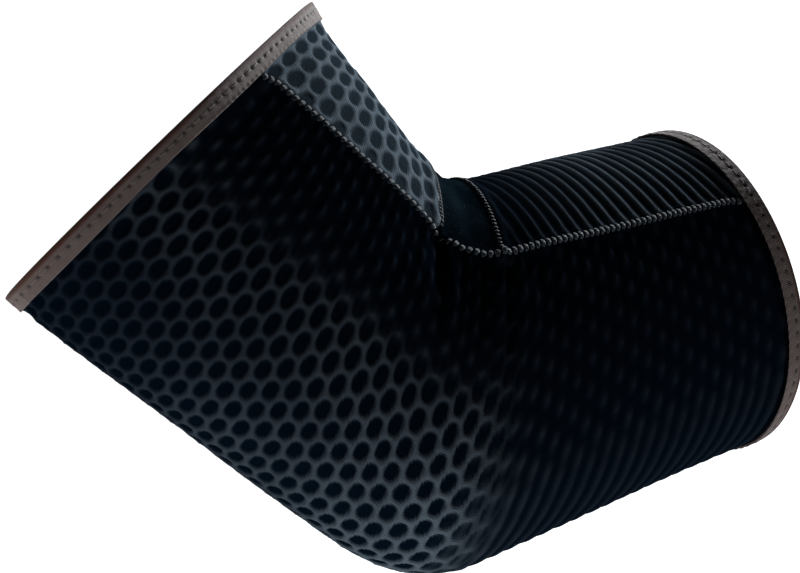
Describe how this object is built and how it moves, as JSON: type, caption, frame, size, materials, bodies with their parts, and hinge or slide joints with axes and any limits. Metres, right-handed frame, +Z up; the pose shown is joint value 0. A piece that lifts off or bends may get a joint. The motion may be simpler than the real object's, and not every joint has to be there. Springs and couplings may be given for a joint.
{
  "type": "elbow support sleeve",
  "caption": "Bent elbow support sleeve of honeycomb neoprene with a knit crook panel, flat side seams and taped openings at each end.",
  "frame": {"origin": "under the middle of the sleeve's bounding box, on the surface that it lies on", "axes": "+Z up; the sleeve lies on its side and bends in the XY plane, with the crook towards +Y, the point of the elbow towards -Y, the upper arm opening towards -X and the forearm opening towards +X"},
  "size_m": [0.2472, 0.1853, 0.0711],
  "materials": {
    "honeycomb_fabric": "matte honeycomb-embossed knit, blue-black",
    "neoprene_foam": "closed-cell foam, black",
    "jersey_lining": "plain jersey, black",
    "crook_knit": "fine stretch knit, dark blue-grey",
    "seam_thread": "textured polyester thread, dark grey",
    "binding_tape": "ribbed elastic tape, grey-taupe",
    "binding_thread": "spun polyester thread, dark brown-grey"
  },
  "bodies": {
    "upper_arm_half": {"back_panel_face_fabric": "honeycomb_fabric", "back_panel_foam_core": "neoprene_foam", "back_panel_lining": "jersey_lining", "upper_front_panel_face_fabric": "honeycomb_fabric", "upper_front_panel_foam_core": "neoprene_foam", "upper_front_panel_lining": "jersey_lining", "crook_panel_knit": "crook_knit", "top_side_seam_cover_thread": "seam_thread", "top_side_seam_looper_thread": "seam_thread", "under_side_seam_cover_thread": "seam_thread", "under_side_seam_looper_thread": "seam_thread", "crook_upper_seam_cover_thread": "seam_thread", "crook_upper_seam_looper_thread": "seam_thread", "upper_binding_tape": "binding_tape", "upper_binding_needle_thread": "binding_thread", "upper_binding_bobbin_thread": "binding_thread"},
    "forearm_half": {"forearm_front_panel_face_fabric": "honeycomb_fabric", "forearm_front_panel_foam_core": "neoprene_foam", "forearm_front_panel_lining": "jersey_lining", "crook_forearm_seam_cover_thread": "seam_thread", "crook_forearm_seam_looper_thread": "seam_thread", "forearm_binding_tape": "binding_tape", "forearm_binding_needle_thread": "binding_thread", "forearm_binding_bobbin_thread": "binding_thread"}
  },
  "joints": [
    {"name": "elbow_bend", "type": "hinge", "parent": "upper_arm_half", "child": "forearm_half", "pos_m": [0.0003, -0.0381, 0.033], "axis": [0, 0, 1], "range_deg": [-60, 45], "stiffness_Nm_per_rad": 0.08, "deforming": ["back_panel_face_fabric", "back_panel_foam_core", "back_panel_lining", "upper_front_panel_face_fabric", "upper_front_panel_foam_core", "upper_front_panel_lining", "forearm_front_panel_face_fabric", "forearm_front_panel_foam_core", "forearm_front_panel_lining", "crook_panel_knit", "top_side_seam_cover_thread", "top_side_seam_looper_thread", "under_side_seam_cover_thread", "under_side_seam_looper_thread", "crook_upper_seam_cover_thread", "crook_upper_seam_looper_thread", "crook_forearm_seam_cover_thread", "crook_forearm_seam_looper_thread"]}
  ]
}
